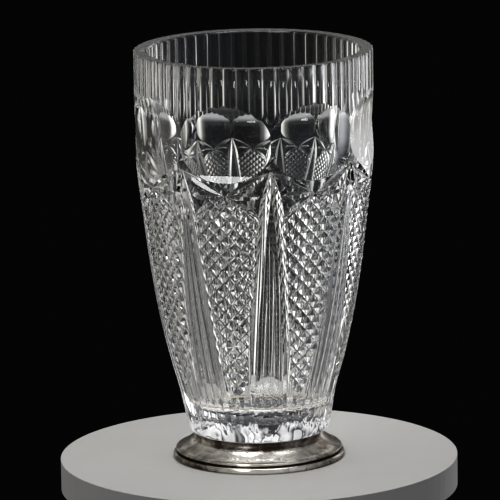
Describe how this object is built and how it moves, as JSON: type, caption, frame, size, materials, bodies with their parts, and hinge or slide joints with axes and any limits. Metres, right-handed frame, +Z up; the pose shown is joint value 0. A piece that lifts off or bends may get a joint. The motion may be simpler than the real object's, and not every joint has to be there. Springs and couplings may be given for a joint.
{
  "type": "cut crystal vase",
  "caption": "Tapered cut crystal vase with a fluted rim, hollow windows, stars and long ribs, cemented into a flared silver foot with a bead edge.",
  "frame": {"origin": "centre of the plane that the vase stands on, under its axis", "axes": "+Z up along the vase's axis; a rib of the cut pattern faces -Y, and the next faces 45 degrees round"},
  "size_m": [0.155, 0.155, 0.27],
  "materials": {
    "crystal": "polished cut lead crystal, clear",
    "silver": "polished silver, softly tarnished, darker in the hollows",
    "cement": "pale bedding cement, crinkled",
    "plaster": "cast plaster, matt",
    "baize": "green baize"
  },
  "bodies": {
    "root": {"crystal_body": "crystal", "foot_shell": "silver", "foot_bead_wire": "silver", "cement_bed": "cement", "foot_loading": "plaster", "baize_disc": "baize"}
  },
  "joints": []
}
